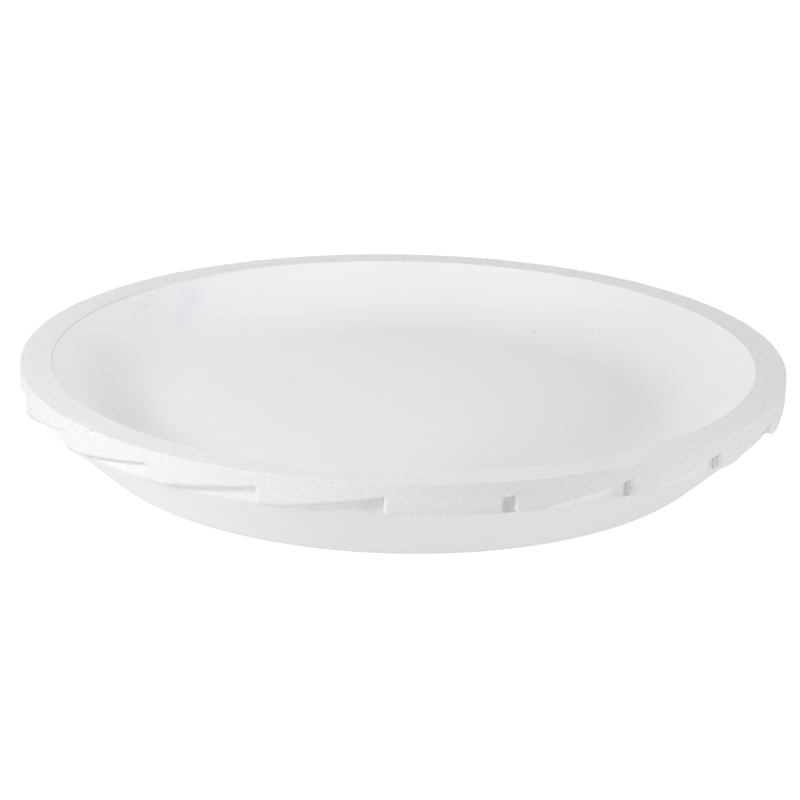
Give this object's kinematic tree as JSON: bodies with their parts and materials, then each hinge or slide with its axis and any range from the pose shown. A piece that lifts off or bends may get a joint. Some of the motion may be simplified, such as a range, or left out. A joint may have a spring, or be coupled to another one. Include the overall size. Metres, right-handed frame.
{
  "type": "cheese mould dish",
  "caption": "Thick round cheese mould dish with a flat floor, curved wall and a toothed rim band of saw-tooth ramps.",
  "frame": {"origin": "centre of the flat underside", "axes": "+Z along the dish's axis, from the underside up to the open rim; +X and +Y in the plane of the underside, with the first ramp step 2.4 degrees clockwise of +X seen from above"},
  "size_m": [0.4, 0.4, 0.055],
  "materials": {
    "granular_rim": "white polymer, as moulded, coarse granular surface",
    "smooth_dish": "white polymer, turned smooth, soft matte sheen"
  },
  "bodies": {
    "root": {"toothed_rim": "granular_rim", "dish_body": "smooth_dish"}
  },
  "joints": []
}
